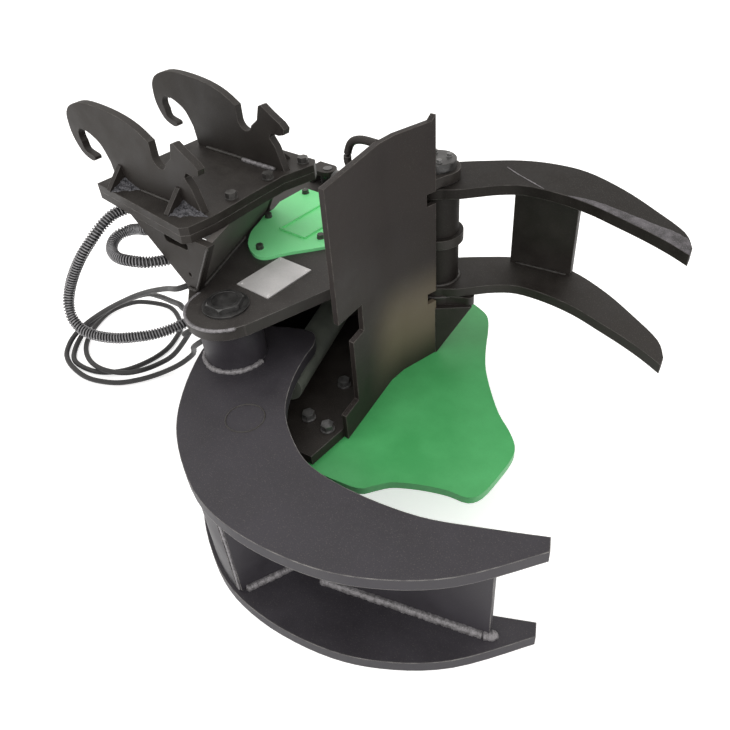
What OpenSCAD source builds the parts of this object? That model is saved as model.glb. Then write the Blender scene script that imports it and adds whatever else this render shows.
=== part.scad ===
// Hydraulic tree shear for an excavator: a fixed blade on a welded frame, a cutting jaw of two
// plates that closes over and under the blade, and a collector arm that holds the cut stems.
// X points to the tree, Y to the collector side, Z up. Millimetres.

/* [Cutting jaw] */
// Reach of the jaw from its pivot to the tip
jaw_reach = 890; // [860:5:920]
// Thickness of each jaw plate
jaw_t = 30; // [24:1:36]
// Clear height between the two jaw plates
jaw_gap = 258; // [250:1:280]
// Thickness of the webs between the jaw plates
web_t = 20; // [14:1:24]
// Outer radius of the hub sleeve and of the hub tube
hub_r = 75; // [65:1:80]
// Height of the hub sleeve over the upper jaw plate
sleeve_h = 109; // [90:1:140]
// Radius of the jaw pivot pin
jaw_pin_r = 35; // [28:1:42]
// Distance from the jaw pivot to the cylinder pin
crank_r = 242; // [238:1:246]
// Radius of the cylinder pin
rod_pin_r = 25; // [18:1:28]
// Radius of the flush head of the cylinder pin
plug_r = 44; // [38:1:48]

/* [Blade and base] */
// Reach of the blade from the jaw pivot
blade_reach = 655; // [640:1:665]
// Thickness of the blade
blade_t = 20; // [14:1:24]
// Height of the blade over the lower jaw plate
blade_lift = 100; // [80:1:110]
// Thickness of the base plate over the blade
base_t = 28; // [20:1:32]

/* [Front plate] */
// Height of the front plate
front_h = 653; // [600:1:720]
// Thickness of the front plate
front_t = 14; // [12:1:20]
// Distance from the jaw pivot forward to the deepest part of the front plate
front_x = 252; // [246:1:258]
// Left end of the front plate, across from the jaw pivot
front_left = 67; // [60:1:75]
// Right end of the front plate, across from the jaw pivot
front_right = 458; // [440:1:460]

/* [Body] */
// Thickness of the top plate
top_t = 30; // [20:1:36]
// Radius of the jaw lug at the end of the top plate
lug_r = 98; // [90:1:104]
// Far side of the body, across from the jaw pivot
body_far = 690; // [680:1:710]
// Thickness of the body's walls
wall_t = 20; // [12:1:24]

/* [Collector arm] */
// Collector pivot, forward of the jaw pivot
col_x = 231; // [228:1:234]
// Collector pivot, across from the jaw pivot
col_y = 527; // [525:1:530]
// Reach of the collector arm
arm_reach = 624; // [590:1:640]
// Thickness of the arm's plates
arm_t = 25; // [18:1:28]
// Clear height between the arm's plates
arm_gap = 255; // [245:1:275]
// Radius of the collector pin
col_pin_r = 30; // [22:1:34]
// Outer radius of the arm's sleeve
col_sleeve_r = 56; // [50:1:60]

/* [Neck and coupler] */
// Height of the neck over the top plate
neck_h = 150; // [130:1:180]
// Thickness of the neck flange and of the coupler base
flange_t = 20; // [14:1:24]
// Distance between the middles of the coupler ears
ear_span = 265; // [240:1:280]
// Thickness of each coupler ear
ear_t = 20; // [14:1:26]
// Length of a coupler ear from the front hook seat to the tail
ear_l = 455; // [445:1:465]
// Radius of the machine's coupler pins
hook_r = 25; // [22:1:27]

/* [Cylinders] */
// Outer radius of the jaw cylinder
cyl_r = 42; // [38:1:42]
// Radius of the jaw cylinder's rod
rod_r = 20; // [16:1:24]
// Outer radius of the collector cylinder
col_cyl_r = 30; // [26:1:32]
// Radius of the collector cylinder's rod
col_rod_r = 15; // [12:1:18]

/* [Hoses] */
// Outer diameter of the spiral guards
guard_d = 30; // [24:1:34]
// Outer diameter of the plain supply hoses
hose_d = 16; // [14:1:18]

/* [Hidden] */

// Fineness of round parts
fine = 64;
// Chamfer on the edges of turned parts
chamfer = 2;
// Overrun of cuts past a face
over = 2;
// Running gap between faces that turn on each other
run = 3;
// Radial clearance of a pin in its bushing
pin_fit = 0.1;
// Play of a thrust ring in its gap
ring_play = 0.3;

// Levels, upwards from the underside of the lower jaw plate
jaw_lo_top = jaw_t;
jaw_up_z = jaw_t + jaw_gap;
jaw_up_top = jaw_up_z + jaw_t;
blade_z = jaw_lo_top + blade_lift;
base_z = blade_z + blade_t;
base_top = base_z + base_t;
top_z = jaw_up_top + sleeve_h + run;
top_top = top_z + top_t;
arm_clear = 7;
arm_z = jaw_up_top + arm_clear;
arm_up_z = arm_z + arm_t + arm_gap;
arm_top = arm_up_z + arm_t;
lug_t = 25;
lower_lug_z = arm_z - run - lug_t;
top_lug_z = arm_top + run;
lever_z = top_top + run;
lever_t = 25;
lever_rim = 12;
flange_z = top_top + neck_h;
coupler_z = flange_z + flange_t;
ear_z = coupler_z + flange_t;

// Seat of the machine's pin in the front hooks, from the jaw pivot: the origin of the part
hook_x = -515;
hook_y = 192.5;
hook_h = 90;
hook_z = ear_z + hook_h;

// Jaw cylinder: pin on the jaw, pin on the frame, and the line between them
crank_angle = -37.8;
crank_x = crank_r * cos(crank_angle);
crank_y = crank_r * sin(crank_angle);
anchor_x = -33;
anchor_y = 452;
cyl_angle = atan2(crank_y - anchor_y, crank_x - anchor_x);
cyl_l = norm([crank_x - anchor_x, crank_y - anchor_y]);
cyl_z = jaw_up_z - run - cyl_r;
cyl_wall = 7;
eye_r = 46;
barrel_eye_r = 40;
eye_t = 80;
eye_play = 2.5;
gland_l = 25;
barrel_from = 50;
barrel_l = 370;
piston_l = 30;
piston_from = 325;
anchor_pin_r = 22;
ear_play = 2;
anchor_ear_t = 20;
anchor_ear_r = 48;

// Collector cylinder, along X
swing = 70;
lever_h = 95;
lever_angle = 90 + swing / 2;
lever_pin_x = -lever_h * tan(swing / 2);
col_cyl_y = col_y + lever_h;
col_anchor_x = -235;
col_cyl_z = lever_z + lever_t / 2;
col_cyl_wall = 6;
fork_pin_r = 12;
fork_r = 28;
fork_t = 15;
fork_reach = 52;
slot_play = 4;
col_barrel_from = 30;
col_barrel_to = 325;
col_eye_t = 24;
base_eye_r = 28;
col_anchor_pin_r = 14;

// Weight of the four neighbouring points at share s of the way along one stretch of a curve
function spline(a, b, c, d, s) = (2 * b + (c - a) * s + (2 * a - 5 * b + 4 * c - d) * s * s
    + (3 * b - a - 3 * c + d) * s * s * s) / 2;
// Smooth curve through points, with a number of steps between each two
function curve(pts, steps) = let (last = len(pts) - 1) [
    for (i = [0:last - 1]) for (k = [0:steps - 1])
        spline(pts[max(i - 1, 0)], pts[i], pts[i + 1], pts[min(i + 2, last)], k / steps),
    pts[last]];
function unit(v) = v / norm(v);
function left_of(v) = [-v[1], v[0]];
// The same curve moved sideways to its left by a distance
function beside(pts, d) = [for (i = [0:len(pts) - 1])
    pts[i] + d * left_of(unit(pts[min(i + 1, len(pts) - 1)] - pts[max(i - 1, 0)]))];
function reversed(pts) = [for (i = [len(pts) - 1:-1:0]) pts[i]];
// Some of a curve's points, between two shares of its length
function stretch(pts, from_share, to_share) = let (n = len(pts) - 1)
    [for (i = [round(from_share * n):round(to_share * n)]) pts[i]];

// The jaw's outlines as shares of its reach: the outer edge to the tip, the inner edge back
jaw_outer_share = [[-0.107, 0.03], [-0.092, -0.05], [0.007, -0.199], [0.125, -0.312], [0.294, -0.397],
    [0.45, -0.416], [0.62, -0.389], [0.755, -0.33], [0.883, -0.228], [1, -0.065]];
jaw_inner_share = [[0.984, -0.033], [0.865, -0.094], [0.74, -0.151], [0.594, -0.182], [0.47, -0.186],
    [0.38, -0.157], [0.28, -0.09], [0.213, 0.001], [0.171, 0.093], [0.15, 0.155], [0.108, 0.192],
    [0.03, 0.165], [-0.06, 0.11]];
jaw_steps = 5;
jaw_outer = curve(jaw_reach * jaw_outer_share, jaw_steps);
jaw_inner = curve(jaw_reach * jaw_inner_share, jaw_steps);
// The rim wall follows the outer edge, set in from it
rim_inset = 9;
rim_from_share = 0.24;
rim_to_share = 0.49;
// Foot lines of the two straight webs, as shares of the reach
cross_web_share = [[0.366, -0.384], [0.429, -0.234]];
long_web_share = [[0.413, -0.272], [0.903, -0.122]];

// The blade's outline as shares of its reach: cutting edge, nose, far edge, rear
blade_edge_share = [[0.44, -0.113], [0.55, -0.097], [0.644, -0.076], [0.678, -0.038], [0.716, 0.011],
    [0.777, 0.05], [0.843, 0.081], [0.901, 0.101], [0.969, 0.115], [0.998, 0.163], [1, 0.261],
    [0.994, 0.357], [0.973, 0.415], [0.916, 0.47], [0.837, 0.527], [0.745, 0.618], [0.66, 0.716],
    [0.603, 0.803], [0.554, 0.89], [0.518, 0.96], [0.485, 1.012], [0.45, 1.047], [0.4, 1.07],
    [0.35, 1.087]];
blade_rear_share = [[0.28, 1.03], [0.21, 0.85], [0.21, 0.02]];

// The collector arm's outline from its pivot, as shares of its reach
arm_outer_share = [[-0.112, 0], [-0.08, 0.096], [0, 0.168], [0.087, 0.232], [0.196, 0.301],
    [0.321, 0.34], [0.465, 0.34], [0.641, 0.272], [0.801, 0.178], [0.933, 0.087], [0.99, 0]];
arm_inner_share = [[0.998, -0.045], [0.92, -0.006], [0.825, 0.032], [0.705, 0.071], [0.587, 0.106],
    [0.455, 0.122], [0.327, 0.112], [0.244, 0.064], [0.179, 0], [0.128, -0.05], [0.06, -0.085],
    [-0.05, -0.085]];
arm_steps = 4;
arm_root_r = 71;
spacer_share = [[0.216, 0.285], [0.45, 0.318]];
spacer_t = 20;

// Front plate: where its flat middle starts and ends, and how far its wings come forward
flat_from = 290;
flat_to = 345;
left_wing = 47;
right_wing = 25;
front_profile = [[front_left - front_t, front_x + left_wing * (flat_from - front_left + front_t)
    / (flat_from - front_left)], [flat_from, front_x], [flat_to, front_x],
    [front_right, front_x + right_wing]];
// The opening in the front plate that the upper jaw plate sweeps through
notch_low = 75;
notch_mid = 251;
notch_high = 337;
notch_narrow = 52;
notch_wide = 102;
notch_lap = 12;
// Slots in the right edge that the collector arm's plates sweep through
arm_slot = 28;
spike = 12;

// Plan of the top plate's front edge and rear edge
lug_edge_x = 158;
lug_edge_y = 197;
rear_x = -371;
rear_y = 405;
bay_from = -208;
bay_to = 130;
bay_y = 574;
shell_x = -345;
shell_y = 225;
shell_near_x = -150;
shell_far_y = 560;
shell_right_x = 118;
shell_right_y = 440;

// Cover and data plate
cover_t = 8;
cover_edge = [[-246, 400], [-239, 356], [-222, 318], [-203, 272], [-163, 222], [-120, 196], [-90, 189],
    [-66, 200], [-38, 246], [2, 295], [30, 332]];
cover_rear = [[88, 420], [88, 545], [-262, 545], [-262, 440]];
cover_steps = 3;
cover_bolt_places = [[-116, 222], [-222, 356], [-236, 521], [-18, 351]];
frame_edge = [[-146, 322], [-48, 322], [-48, 517], [-146, 517]];
plate_w = 110;
plate_l = 150;
plate_t = 3;
plate_x = -46;
plate_y = 76;

// Neck: skew of the front wall in plan, and lines of the side plates
neck_skew = 22.6;
neck_setback = 80;
neck_wall_x = -96;
side_top = [-310, -17];
side_foot = [-135, -104];
far_top = [-430, -183];
far_foot = [-371, -270];
far_y = 385;
rib_y = 200;
rib_foot = [-300, -210];
rib_top = [-380, -123];
slot_x = -141;
slot_drop = 24;
slot_w = 88;
slot_h = 22;
peg_hole = [-117, 44];
peg_hole_r = 6;

// Flange: corners and chamfer
flange_outline = [[-450, 12], [-80, -23], [-64, -8], [-57, 60], [-60, 120], [-66, 200], [-70, 300],
    [-50, 388], [-68, 412], [-450, 412]];
flange_bolt_places = [[-89, 145], [-91, 267], [-82, 382]];

// Coupler ear as shares of its length, from the seat of the front hook
ear_foot_share = [0.22, 0.95];
ear_share = [[0.205, -0.088], [0.16, -0.007], [0.1, 0.032], [0.04, 0.0515], [0.022, 0.044],
    [0, 0.048], [-0.034, 0.034], [-0.048, 0], [-0.046, -0.022], [-0.045, -0.05], [-0.033, -0.079],
    [0.035, -0.095], [0.044, -0.11],
    [0.031, -0.123], [-0.01, -0.121], [-0.075, -0.09], [-0.121, -0.009], [-0.125, 0.073],
    [-0.105, 0.13], [-0.042, 0.178], [0.079, 0.211], [0.253, 0.211], [0.411, 0.193], [0.53, 0.16],
    [0.624, 0.11]];
ear_steps = 3;
rear_seat_share = [0.683, 0.035];
rear_hook_share = [[0.79, 0.06], [0.817, 0.14], [0.84, 0.147], [0.892, 0.113], [0.97, 0.07],
    [0.994, 0.045], [0.985, 0.015], [0.945, 0.004], [0.89, 0.009], [0.868, -0.022], [0.905, -0.07]];
gusset_places = [-375, -145];
gusset_l = 50;
gusset_h = 50;
gusset_t = 14;

// Routes of the hoses, from the jaw pivot at ground level
long_route = [[-400, 66, 582], [-400, 56, 582], [-400, 36, 581], [-405, 3, 579], [-408, -40, 561],
    [-418, -74, 532], [-433, -102, 499], [-452, -127, 456], [-467, -145, 415], [-470, -163, 374],
    [-458, -173, 343], [-431, -175, 320], [-401, -167, 307], [-367, -151, 301], [-332, -129, 298],
    [-297, -100, 299], [-266, -67, 300], [-239, -27, 304], [-222, 19, 308], [-216, 70, 313],
    [-214, 120, 316], [-214, 158, 316], [-214, 170, 316]];
short_route = [[-300, 66, 556], [-300, 58, 556], [-304, 44, 553], [-325, 36, 545], [-362, 38, 535],
    [-394, 32, 526], [-410, 10, 520], [-405, -18, 513], [-376, -44, 508], [-330, -58, 509],
    [-285, -52, 512], [-248, -28, 508], [-230, 8, 501], [-225, 38, 497], [-225, 56, 496],
    [-225, 66, 496]];
route_a = [[-240, 170, 392], [-240, 160, 392], [-240, 138, 392], [-243, 106, 390], [-253, 80, 384],
    [-274, 64, 374], [-306, 62, 358], [-396, 86, 312], [-490, 92, 266], [-578, 89, 220],
    [-654, 78, 176], [-722, 61, 134], [-775, 40, 98], [-816, 17, 67], [-841, -11, 42], [-848, -43, 23],
    [-833, -76, 12], [-794, -109, 9], [-726, -130, 9], [-631, -131, 9], [-542, -94, 9], [-491, -39, 9],
    [-457, 20, 12], [-417, 66, 34], [-377, 95, 72], [-340, 84, 118], [-302, 62, 156], [-262, 50, 192],
    [-226, 59, 222], [-200, 84, 245], [-190, 117, 258], [-190, 140, 262], [-190, 160, 262],
    [-190, 170, 262]];
route_b = [[-190, 170, 392], [-190, 160, 392], [-190, 138, 392], [-188, 62, 376], [-232, 32, 340],
    [-290, 50, 320], [-369, 75, 285], [-488, 105, 240], [-601, 119, 195], [-754, 91, 112],
    [-830, 35, 49], [-838, -28, 13], [-771, -97, 9], [-706, -111, 9], [-628, -93, 9], [-570, -41, 9],
    [-544, 29, 9], [-543, 100, 9], [-569, 165, 9], [-614, 221, 9], [-721, 262, 14], [-824, 223, 20],
    [-870, 178, 16], [-887, 120, 11], [-867, 59, 9], [-829, 1, 9], [-773, -49, 11], [-696, -82, 19],
    [-617, -89, 26], [-547, -65, 27], [-508, -26, 26], [-492, 35, 20], [-466, 86, 40],
    [-384, 110, 145], [-332, 64, 192], [-296, 54, 218], [-245, 98, 256], [-240, 140, 262],
    [-240, 160, 262], [-240, 170, 262]];
hose_steps = 2;
guard_steps = 4;
hose_sides = 8;
guard_pitch = 8;
guard_depth = 2.2;
port_y = 190;
port_t = 14;
fitting_l = 20;

// Puts the working frame, at the jaw pivot on the ground, into the part's frame at the hooks
module place() {
    translate([-hook_x, -hook_y, -hook_z]) children();
}

module black() { color([0.16, 0.16, 0.165]) children(); }
module bare_steel() { color([0.6, 0.6, 0.6]) children(); }
module green() { color([0.36, 0.75, 0.45]) children(); }
module silver() { color([0.85, 0.86, 0.87]) children(); }
module rubber() { color([0.1, 0.1, 0.1]) children(); }

// Upright wall of thickness t along the line from p to q
module wall(p, q, z0, z1, t) {
    d = q - p;
    translate([p[0], p[1], z0]) rotate([0, 0, atan2(d[1], d[0])]) translate([-t / 2, -t / 2, 0])
        cube([norm(d) + t, t, z1 - z0]);
}

// Upright disc from z0 to z1
module disc(x, y, z0, z1, r) {
    translate([x, y, z0]) cylinder(r = r, h = z1 - z0, $fn = fine);
}

// Hexagon bolt head with a washer, standing on height z, in shares of the width across its flats
washer_t_share = 0.12;
washer_r_share = 0.62;
head_share = 0.55;
module bolt_head(x, y, z, across) {
    translate([x, y, z]) {
        cylinder(r = across * washer_r_share, h = across * washer_t_share, $fn = fine);
        translate([0, 0, across * washer_t_share])
            cylinder(r = across / sqrt(3), h = across * head_share, $fn = 6);
    }
}

// The front plate's bent sheet from height z0 to z1, before its outline is cut
module front_band(z0, z1) {
    face = [for (p = front_profile) [p[1], p[0]]];
    translate([0, 0, z0]) linear_extrude(z1 - z0) polygon(concat(face, reversed(beside(face, front_t))));
}

// Frame

module blade() {
    edge = curve(blade_reach * blade_edge_share, 3);
    green() place() translate([0, 0, blade_z]) linear_extrude(blade_t)
        polygon(concat(edge, blade_reach * blade_rear_share));
}

blade_bolt_places = [[193, 33], [258, 31], [183, 178]];
module blade_bolts() {
    across = 28;
    bare_steel() place() for (p = blade_bolt_places) bolt_head(p[0], p[1], base_top, across);
}

module shell_walls(z0, z1) {
    wall([shell_near_x, shell_y], [shell_x, rear_y], z0, z1, wall_t);
    wall([shell_x, rear_y], [shell_x, shell_far_y], z0, z1, wall_t);
    wall([shell_x, shell_far_y], [shell_right_x, shell_far_y], z0, z1, wall_t);
    wall([shell_right_x, shell_far_y], [shell_right_x, shell_right_y], z0, z1, wall_t);
}

module base_plate() {
    corner_x = 288;
    corner_y = -60;
    step_y = front_left - front_t;
    black() place() difference() {
        translate([0, 0, base_z]) linear_extrude(base_t) {
            circle(r = lug_r, $fn = fine);
            polygon([[0, -lug_r], [corner_x, corner_y], [corner_x, step_y], [front_x + left_wing, step_y],
                [front_x, flat_from], [front_x, flat_to], [front_x + right_wing, front_right],
                [shell_right_x, front_right], [shell_right_x, shell_far_y], [shell_x, shell_far_y],
                [shell_x, rear_y], [shell_near_x, shell_y], [-lug_r, 0]]);
        }
        front_band(base_z - over, base_top + over);
        shell_walls(base_z - over, base_top + over);
        disc(0, 0, base_z - over, base_top + over, hub_r);
    }
}

module front_plate() {
    foot = base_z;
    top = foot + front_h;
    left = front_left;
    black() place() intersection() {
        front_band(foot, top + spike);
        rotate([90, 0, 90]) linear_extrude(front_x + left_wing + front_x)
            polygon([[left - notch_lap, foot], [front_right, foot],
                [front_right, arm_z - run], [front_right - arm_slot, arm_z - run],
                [front_right - arm_slot, arm_z + arm_t + run], [front_right, arm_z + arm_t + run],
                [front_right, arm_up_z - run], [front_right - arm_slot, arm_up_z - run],
                [front_right - arm_slot, arm_top + run], [front_right, arm_top + run],
                [front_right, top + spike],
                [front_right - spike, top], [left, top], [left, foot + notch_high],
                [left + notch_wide, foot + notch_high - notch_lap], [left + notch_wide, foot + notch_mid],
                [left + notch_narrow, foot + notch_mid], [left + notch_narrow, foot + notch_low],
                [left - notch_lap, foot + notch_low]]);
    }
}

module top_plate() {
    lug_side = 28;
    behind = 38;
    black() place() difference() {
        translate([0, 0, top_z]) linear_extrude(top_t) {
            circle(r = lug_r, $fn = fine);
            polygon([[lug_r - chamfer, -lug_side], [lug_edge_x, lug_edge_y], [front_x, flat_from],
                [front_x, flat_to], [front_x + chamfer, front_right - behind], [bay_to, front_right],
                [bay_to, bay_y], [bay_from, bay_y], [bay_from, body_far], [rear_x, body_far],
                [rear_x, rear_y], [side_foot[0] - chamfer, 0], [-lug_side, chamfer - lug_r]]);
        }
        front_band(top_z - over, top_top + over);
        disc(0, 0, top_z - over, top_top + over, jaw_pin_r);
        disc(col_anchor_x, col_cyl_y, top_z - over, top_top + over, col_anchor_pin_r);
    }
}

module body_shell() {
    black() place() shell_walls(wall_t, top_z);
}

module floor_plate() {
    near_y = 236;
    black() place() linear_extrude(wall_t) polygon([[shell_near_x - wall_t, near_y], [shell_x - wall_t / 2,
        rear_y], [shell_x - wall_t / 2, shell_far_y + wall_t / 2], [shell_right_x + wall_t / 2, shell_far_y
        + wall_t / 2], [shell_right_x + wall_t / 2, near_y]]);
}

module jaw_hub_tube() {
    black() place() difference() {
        disc(0, 0, jaw_lo_top + run, jaw_up_z - run, hub_r);
        disc(0, 0, jaw_lo_top, jaw_up_z, jaw_pin_r);
    }
}

module hub_web() {
    black() place() difference() {
        union() {
            wall([0, 0], [shell_near_x, shell_y], jaw_lo_top + run, base_z, wall_t);
            wall([0, 0], [shell_near_x, shell_y], base_top, jaw_up_z - run, wall_t);
        }
        disc(0, 0, 0, jaw_up_z, hub_r);
        shell_walls(0, jaw_up_z);
    }
}

module collector_top_lug() {
    r = col_sleeve_r + chamfer;
    root_x = 100;
    root_y = 120;
    black() place() difference() {
        translate([0, 0, top_lug_z]) linear_extrude(lug_t) {
            translate([col_x, col_y]) circle(r = r, $fn = fine);
            polygon([[col_x - r, col_y], [col_x - root_x, col_y - root_y], [front_x, col_y - root_y],
                [front_x + right_wing - front_t / 2, front_right], [col_x + r, col_y]]);
        }
        front_band(top_lug_z - over, top_lug_z + lug_t + over);
        disc(col_x, col_y, top_lug_z - over, top_lug_z + lug_t + over, col_pin_r);
    }
}

lobe = [348, 526];
module collector_lower_lug() {
    r = arm_root_r;
    root_y = 104;
    lobe_r = 16;
    black() place() difference() {
        translate([0, 0, lower_lug_z]) linear_extrude(lug_t) {
            translate([col_x, col_y]) circle(r = r, $fn = fine);
            translate([lobe[0] - lobe_r, lobe[1]]) circle(r = lobe_r, $fn = fine);
            polygon([[col_x - r, col_y], [shell_right_x + wall_t / 2, col_y - root_y], [front_x,
                col_y - root_y], [col_x, col_y - r], [lobe[0] - lobe_r, lobe[1] - lobe_r],
                [lobe[0] - lobe_r, lobe[1] + lobe_r], [col_x, col_y + r]]);
        }
        front_band(lower_lug_z - over, arm_z);
        disc(col_x, col_y, lower_lug_z - over, arm_z, col_pin_r);
    }
}

module lug_gusset() {
    start = [front_x + right_wing - front_t / 2, front_right + front_t / 4];
    run_l = norm(lobe - start);
    land = 4;
    angle = atan2(lobe[1] - start[1], lobe[0] - start[0]);
    black() place() difference() {
        translate([start[0], start[1], 0]) rotate([90, 0, angle])
            translate([0, 0, -web_t / 2]) linear_extrude(web_t)
            polygon([[0, base_z], [land, base_z], [run_l - land, lower_lug_z], [0, lower_lug_z]]);
        front_band(base_z - over, lower_lug_z + over);
    }
}

module lug_column() {
    column_y = 400;
    black() place() difference() {
        for (z = [[lower_lug_z + lug_t, top_z], [top_top, top_lug_z]])
            translate([shell_right_x + wall_t / 2, column_y, z[0]])
                cube([front_x - shell_right_x, wall_t, z[1] - z[0]]);
        front_band(base_z, top_lug_z + over);
    }
}

module access_cover() {
    rib = 5;
    lift = 5;
    green() place() difference() {
        union() {
            translate([0, 0, top_top]) linear_extrude(cover_t)
                polygon(concat(curve(cover_edge, cover_steps), cover_rear));
            translate([0, 0, top_top + cover_t]) linear_extrude(lift) difference() {
                polygon(frame_edge);
                polygon([frame_edge[0] + [rib, rib], frame_edge[1] + [-rib, rib],
                    frame_edge[2] - [rib, rib], frame_edge[3] + [rib, -rib]]);
            }
        }
        for (p = cover_bolt_places) disc(p[0], p[1], top_top - over, top_top + 2 * cover_t, rib);
    }
}

module cover_bolts() {
    across = 17;
    bare_steel() place() for (p = cover_bolt_places) {
        bolt_head(p[0], p[1], top_top + cover_t, across);
        disc(p[0], p[1], top_top, top_top + cover_t, across / 4);
    }
}

module data_plate() {
    silver() place() translate([plate_x, plate_y, top_top]) cube([plate_w, plate_l, plate_t]);
}

module neck_side_near() {
    black() place() translate([0, wall_t, top_top]) rotate([90, 0, 0]) linear_extrude(wall_t) difference() {
        polygon([[side_foot[0], 0], [side_foot[1], 0], [side_top[1], neck_h], [side_top[0], neck_h]]);
        translate([slot_x, neck_h - slot_drop]) square([slot_w - slot_h, slot_h], center = true);
        for (s = [-1, 1]) translate([slot_x + s * (slot_w - slot_h) / 2, neck_h - slot_drop])
            circle(r = slot_h / 2, $fn = fine);
        translate(peg_hole) circle(r = peg_hole_r, $fn = fine / 2);
    }
}

module neck_side_far() {
    black() place() translate([0, far_y + wall_t, top_top]) rotate([90, 0, 0]) linear_extrude(wall_t)
        polygon([[far_foot[0], 0], [far_foot[1], 0], [far_top[1], neck_h], [far_top[0], neck_h]]);
}

// Plane of the leaning front wall, run on past both sides of the neck
module neck_slope(thick) {
    far_end = 480;
    slope_w = 600;
    rotate([0, 0, neck_skew]) translate([0, far_end, 0]) rotate([90, 0, 0]) linear_extrude(slope_w)
        polygon([[neck_wall_x, top_top], [neck_wall_x - thick, top_top],
            [neck_wall_x - thick + neck_setback, flange_z], [neck_wall_x + neck_setback, flange_z]]);
}

module neck_rib() {
    black() place() translate([0, rib_y, top_top]) rotate([90, 0, 0]) linear_extrude(wall_t)
        polygon([[rib_foot[0], 0], [rib_foot[1], 0], [rib_top[1], neck_h], [rib_top[0], neck_h]]);
}

module neck_front_wall() {
    black() place() intersection() {
        neck_slope(wall_t);
        translate([rear_x - neck_h, wall_t, top_top]) cube([-rear_x + neck_h, far_y - wall_t, neck_h]);
    }
}

module neck_flange() {
    black() place() translate([0, 0, flange_z]) linear_extrude(flange_t) polygon(flange_outline);
}

module coupler_base() {
    black() place() translate([0, 0, coupler_z]) linear_extrude(flange_t) polygon(flange_outline);
}

// One ear, with the seat of the front hook at the origin of its drawing
module ear_outline() {
    back = ear_l * rear_seat_share;
    crest = ear_l * ear_share[len(ear_share) - 1];
    difference() {
        polygon(concat([[ear_l * ear_foot_share[0], -hook_h]], curve(ear_l * ear_share, ear_steps),
            [[back[0] - hook_r, crest[1]], [back[0] - hook_r, back[1]], [back[0], back[1] - hook_r]],
            ear_l * rear_hook_share, [[ear_l * ear_foot_share[1], -hook_h]]));
        circle(r = hook_r, $fn = fine);
        translate(back) circle(r = hook_r, $fn = fine);
    }
}

module coupler_ear(y) {
    black() place() translate([hook_x, y + ear_t / 2, hook_z]) rotate([90, 0, 0])
        linear_extrude(ear_t) ear_outline();
}

module coupler_ear_left() { coupler_ear(hook_y - ear_span / 2); }
module coupler_ear_right() { coupler_ear(hook_y + ear_span / 2); }

module coupler_gussets() {
    gusset_face = [[0, 0], [gusset_l, 0], [gusset_l, gusset_t / 4], [gusset_t / 4, gusset_h], [0, gusset_h]];
    near_face = hook_y - ear_span / 2 - ear_t / 2;
    far_face = hook_y + ear_span / 2 + ear_t / 2;
    black() place() for (x = gusset_places) {
        translate([x, near_face, ear_z]) rotate([90, 0, -90]) linear_extrude(gusset_t)
            polygon(gusset_face);
        translate([x, far_face, ear_z]) rotate([90, 0, 90]) linear_extrude(gusset_t)
            polygon(gusset_face);
    }
}

module flange_bolts() {
    across = 24;
    bare_steel() place() for (p = flange_bolt_places) bolt_head(p[0], p[1], ear_z, across);
}

// Bent round bar welded to the back of the front plate
eye_bar_d = 18;
eye_y = 300;
eye_path = [[front_x - front_t, eye_y, 720], [190, eye_y, 720], [164, eye_y, 722], [150, eye_y, 738],
    [154, eye_y, 764], [168, eye_y, 786], [196, eye_y, 796], [front_x - front_t, eye_y, 796]];
module lifting_eye() {
    pts = curve(eye_path, guard_steps);
    black() place() tube(pts, eye_path, [for (p = pts) eye_bar_d / 2], fine / 4);
}

washer_t = 5;
washer_r = 56;
nut_h = 13;
nut_across = 80;
module jaw_pin() {
    bare_steel() place() {
        disc(0, 0, chamfer, top_top + washer_t, jaw_pin_r);
        disc(0, 0, top_top + washer_t, top_top + washer_t + nut_h - chamfer,
            jaw_pin_r - pin_fit - chamfer);
    }
}

module jaw_pin_washer() {
    bare_steel() place() difference() {
        disc(0, 0, top_top, top_top + washer_t, washer_r);
        disc(0, 0, top_top - over, top_top + 2 * washer_t, jaw_pin_r);
    }
}

module jaw_pin_nut() {
    black() place() difference() {
        translate([0, 0, top_top + washer_t]) intersection() {
            cylinder(r = nut_across / sqrt(3), h = nut_h, $fn = 6);
            cylinder(r1 = nut_across / 2 + nut_h, r2 = nut_across / 2 + chamfer, h = nut_h, $fn = fine);
        }
        disc(0, 0, top_top, top_top + washer_t + 2 * nut_h, jaw_pin_r - pin_fit - chamfer);
    }
}

cap_t = 22;
cap_r = 48;
module collector_pin() {
    bare_steel() place() disc(col_x, col_y, lower_lug_z - wall_t / 2, top_lug_z + lug_t, col_pin_r);
}

module collector_pin_cap() {
    z = top_lug_z + lug_t;
    black() place() translate([col_x, col_y, z]) {
        cylinder(r = cap_r, h = cap_t - chamfer, $fn = fine);
        translate([0, 0, cap_t - chamfer])
            cylinder(r1 = cap_r, r2 = cap_r - chamfer, h = chamfer, $fn = fine);
    }
}

module cap_bolts() {
    count = 4;
    across = 12;
    bare_steel() place() for (i = [0:count - 1]) let (a = 45 + 360 * i / count)
        bolt_head(col_x + col_pin_r * cos(a), col_y + col_pin_r * sin(a), top_lug_z + lug_t + cap_t, across);
}

module ring(x, y, z, r, bore) {
    difference() {
        disc(x, y, z + ring_play, z + run - ring_play, r);
        disc(x, y, z - over, z + run + over, bore);
    }
}

module thrust_rings() {
    bare_steel() place() {
        ring(0, 0, top_z - run, hub_r - chamfer, jaw_pin_r);
        ring(0, 0, jaw_up_z - run, hub_r - chamfer, jaw_pin_r);
        ring(0, 0, jaw_lo_top, hub_r - chamfer, jaw_pin_r);
        ring(col_x, col_y, arm_z - run, col_sleeve_r, col_pin_r);
        ring(col_x, col_y, arm_top, col_sleeve_r, col_pin_r);
    }
}

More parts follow.
